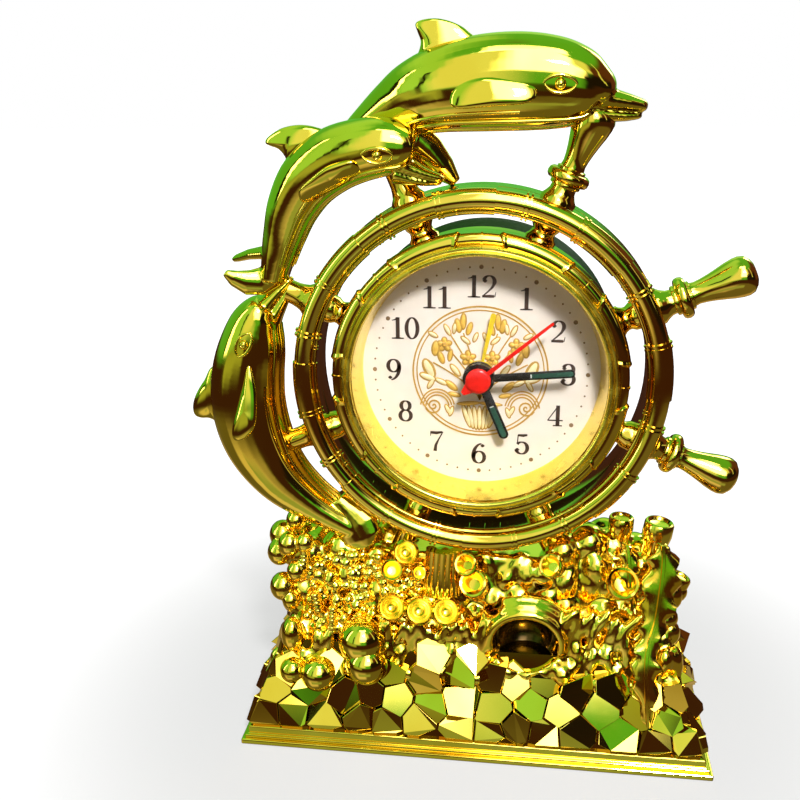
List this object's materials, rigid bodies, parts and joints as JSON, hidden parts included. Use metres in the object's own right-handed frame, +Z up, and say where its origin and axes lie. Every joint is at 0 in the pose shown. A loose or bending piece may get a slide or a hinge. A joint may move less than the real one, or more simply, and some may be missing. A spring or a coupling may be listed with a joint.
{
  "type": "table alarm clock",
  "caption": "Gold figural quartz table alarm clock: a ship's helm wheel holds the dial, dolphins leap round it, and a coral reef on a plinth carries it.",
  "frame": {"origin": "centre of the flat underside of the bottom cover, on which the clock stands", "axes": "+Z up; the dial faces -Y; +X is to the right as seen from the front"},
  "size_m": [0.1263, 0.048, 0.1645],
  "materials": {
    "gold": "gold metallised, polished",
    "lens": "clear",
    "dial_card": "printed, satin",
    "black_hand": "gloss enamel",
    "red_hand": "gloss enamel",
    "gold_hand": "polished",
    "black_plastic": "fine texture",
    "white_plastic": "moulded",
    "steel": "bright",
    "copper_wire": "enamelled wire",
    "board": "solder mask",
    "cell_jacket": "printed film"
  },
  "bodies": {
    "clock": {"base_cover": "gold", "cover_screws": "steel", "plinth": "gold", "reef_front": "gold", "reef_rear": "gold", "helm_front": "gold", "helm_rear": "gold", "helm_screws": "steel", "upper_dolphin_front": "gold", "upper_dolphin_rear": "gold", "middle_dolphin_front": "gold", "middle_dolphin_rear": "gold", "lower_dolphin_front": "gold", "lower_dolphin_rear": "gold", "bezel_ring": "gold", "lens": "lens", "dial": "dial_card", "movement_case": "black_plastic", "movement_cover": "black_plastic", "case_screws": "steel", "mid_plate": "white_plastic", "rear_plate": "white_plastic", "stator": "steel", "coil": "copper_wire", "circuit_board": "board", "buzzer": "black_plastic", "cell": "cell_jacket", "positive_contact": "steel", "negative_contact": "steel"},
    "second_hand": {"second_hand": "red_hand", "second_wheel": "white_plastic"},
    "minute_hand": {"minute_hand": "black_hand", "cannon_pinion": "steel"},
    "hour_hand": {"hour_hand": "black_hand", "hour_wheel": "white_plastic"},
    "alarm_hand": {"alarm_hand": "gold_hand", "alarm_wheel": "white_plastic"},
    "centre_wheel": {"centre_wheel": "white_plastic"},
    "third_wheel": {"third_wheel": "white_plastic"},
    "intermediate_wheel": {"intermediate_wheel": "white_plastic"},
    "rotor": {"rotor": "steel"},
    "minute_wheel": {"minute_wheel": "white_plastic"},
    "time_set_knob": {"time_set_knob": "black_plastic"},
    "alarm_set_knob": {"alarm_set_knob": "black_plastic"},
    "alarm_slider": {"alarm_slider": "white_plastic"},
    "battery_door": {"battery_door": "black_plastic"}
  },
  "joints": [
    {"name": "second_hand_turn", "type": "hinge", "parent": "clock", "child": "second_hand", "pos_m": [0, -0.004, 0.09], "axis": [0, 1, 0], "continuous": true},
    {"name": "third_wheel_turn", "type": "hinge", "parent": "clock", "child": "third_wheel", "pos_m": [-0.00779, 0.004, 0.0945], "axis": [0, 1, 0], "continuous": true},
    {"name": "centre_wheel_turn", "type": "hinge", "parent": "clock", "child": "centre_wheel", "pos_m": [0, 0.003, 0.09], "axis": [0, 1, 0], "continuous": true},
    {"name": "intermediate_wheel_turn", "type": "hinge", "parent": "clock", "child": "intermediate_wheel", "pos_m": [0.00308, 0.005, 0.09846], "axis": [0, 1, 0], "continuous": true},
    {"name": "rotor_turn", "type": "hinge", "parent": "clock", "child": "rotor", "pos_m": [0.00658, 0.006, 0.10452], "axis": [0, 1, 0], "continuous": true},
    {"name": "minute_hand_turn", "type": "hinge", "parent": "clock", "child": "minute_hand", "pos_m": [0, -0.004, 0.09], "axis": [0, 1, 0], "continuous": true},
    {"name": "minute_wheel_turn", "type": "hinge", "parent": "clock", "child": "minute_wheel", "pos_m": [-0.012, 0, 0.09], "axis": [0, 1, 0], "continuous": true},
    {"name": "hour_hand_turn", "type": "hinge", "parent": "clock", "child": "hour_hand", "pos_m": [0, -0.004, 0.09], "axis": [0, 1, 0], "continuous": true},
    {"name": "time_set_turn", "type": "hinge", "parent": "clock", "child": "time_set_knob", "pos_m": [-0.01408, 0.016, 0.10182], "axis": [0, 1, 0], "continuous": true},
    {"name": "alarm_hand_turn", "type": "hinge", "parent": "clock", "child": "alarm_hand", "pos_m": [0, -0.004, 0.09], "axis": [0, 1, 0], "continuous": true},
    {"name": "alarm_set_turn", "type": "hinge", "parent": "clock", "child": "alarm_set_knob", "pos_m": [0.0128, 0.016, 0.09226], "axis": [0, 1, 0], "continuous": true},
    {"name": "alarm_slider_slide", "type": "slide", "parent": "clock", "child": "alarm_slider", "axis": [1, 0, 0], "range_m": [0, 0.004]},
    {"name": "battery_door_slide", "type": "slide", "parent": "clock", "child": "battery_door", "axis": [0, 1, 0], "range_m": [0, 0.012]}
  ],
  "couplings": [
    {"joint": "third_wheel_turn", "follows": "second_hand_turn", "ratio": -0.125},
    {"joint": "centre_wheel_turn", "follows": "second_hand_turn", "ratio": 0.016667},
    {"joint": "intermediate_wheel_turn", "follows": "second_hand_turn", "ratio": -5},
    {"joint": "rotor_turn", "follows": "second_hand_turn", "ratio": 30},
    {"joint": "minute_wheel_turn", "follows": "minute_hand_turn", "ratio": -0.33333},
    {"joint": "hour_hand_turn", "follows": "minute_hand_turn", "ratio": 0.083333},
    {"joint": "time_set_turn", "follows": "minute_hand_turn", "ratio": 1},
    {"joint": "alarm_set_turn", "follows": "alarm_hand_turn", "ratio": -3.3333}
  ]
}
